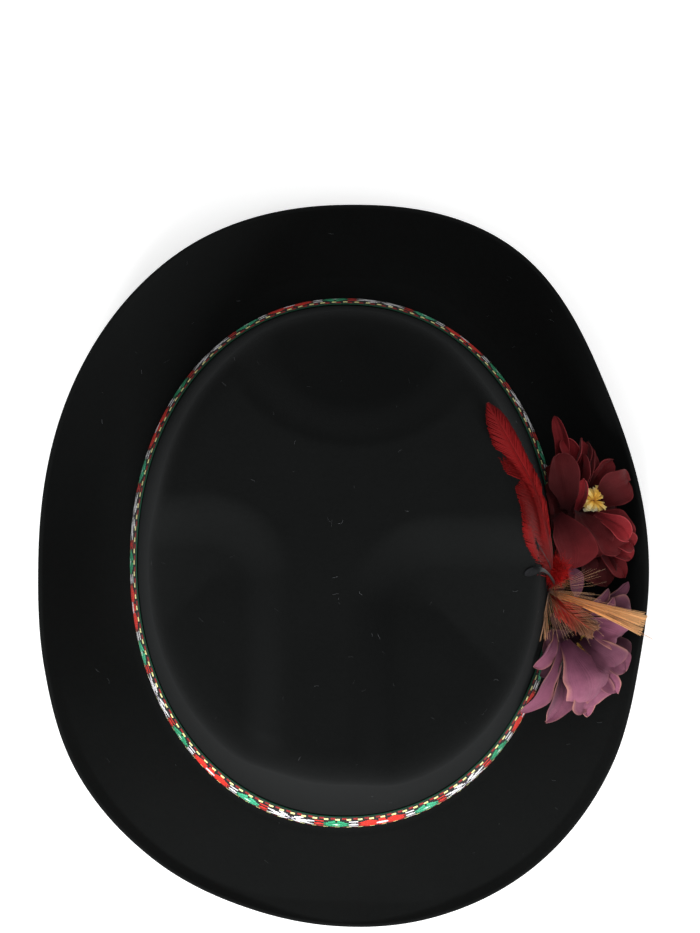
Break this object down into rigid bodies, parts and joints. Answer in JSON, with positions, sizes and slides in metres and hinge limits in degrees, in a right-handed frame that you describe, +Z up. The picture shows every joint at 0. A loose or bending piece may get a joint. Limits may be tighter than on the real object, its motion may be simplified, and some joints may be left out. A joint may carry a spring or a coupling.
{
  "type": "tyrolean hat",
  "caption": "Black felt Tyrolean hat with a three-dent crown, a rolled brim, a woven folk ribbon band and a posy of silk flowers and feathers at the left side.",
  "frame": {"origin": "bottom centre of the whole hat's box, on the surface that the hat lies on", "axes": "+Z up, -Y the front of the hat, +X the wearer's left, where the posy is"},
  "size_m": [0.238, 0.2844, 0.1349],
  "materials": {
    "felt": "matte black wool felt with short fuzz",
    "ribbon": "woven jacquard ribbon",
    "binding": "wrapped cloth tape",
    "petal_burgundy": "matte silk cloth",
    "stamen_cream": "matte frilled cloth",
    "petal_mauve": "matte silk cloth",
    "stamen_yellow": "matte frilled cloth",
    "feather_red": "dyed feather, soft sheen",
    "feather_brown_tip": "dyed feather with a brown tip",
    "feather_tan": "natural feather strands",
    "quill_dark": "glossy dark quill",
    "down_red": "dyed fluffy down"
  },
  "bodies": {
    "root": {"felt_body": "felt", "hat_band": "ribbon", "posy_binding": "binding", "flower_burgundy": "petal_burgundy", "stamens_burgundy": "stamen_cream", "flower_mauve": "petal_mauve", "stamens_mauve": "stamen_yellow", "feather_red_long": "feather_red", "feather_red_low": "feather_brown_tip", "feather_tan_long": "feather_tan", "feather_tan_low": "feather_tan", "quill_black": "quill_dark", "down_red": "down_red"}
  },
  "joints": []
}
